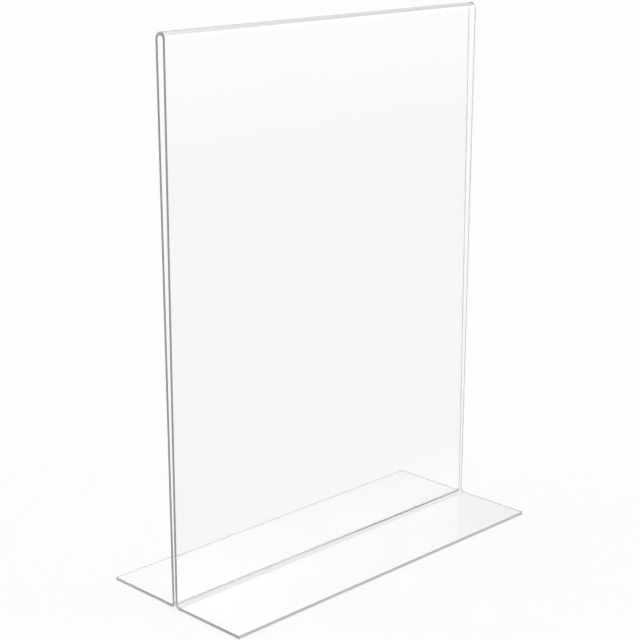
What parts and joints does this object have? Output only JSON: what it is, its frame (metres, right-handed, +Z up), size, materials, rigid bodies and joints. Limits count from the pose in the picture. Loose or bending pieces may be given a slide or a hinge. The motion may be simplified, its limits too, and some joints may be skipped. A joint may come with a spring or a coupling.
{
  "type": "sign stand",
  "caption": "Clear acrylic T-shaped tabletop sign holder, upright and double-sided, with a hairpin fold over the top and a slot that loads from below.",
  "frame": {"origin": "middle of the footprint, on the surface that the stand rests on, in the middle plane of the sign slot", "axes": "+Z up, +Y from the front foot to the rear foot, +X along the width of the sheet"},
  "size_m": [0.216, 0.0934, 0.282],
  "materials": {
    "clear_acrylic": "clear colourless acrylic sheet, glossy faces and bends, cut edges sanded to a satin grey"
  },
  "bodies": {
    "root": {"front_foot": "clear_acrylic", "front_heel_bend": "clear_acrylic", "front_panel": "clear_acrylic", "front_top_bend": "clear_acrylic", "rear_top_bend": "clear_acrylic", "rear_panel": "clear_acrylic", "rear_heel_bend": "clear_acrylic", "rear_foot": "clear_acrylic"}
  },
  "joints": []
}
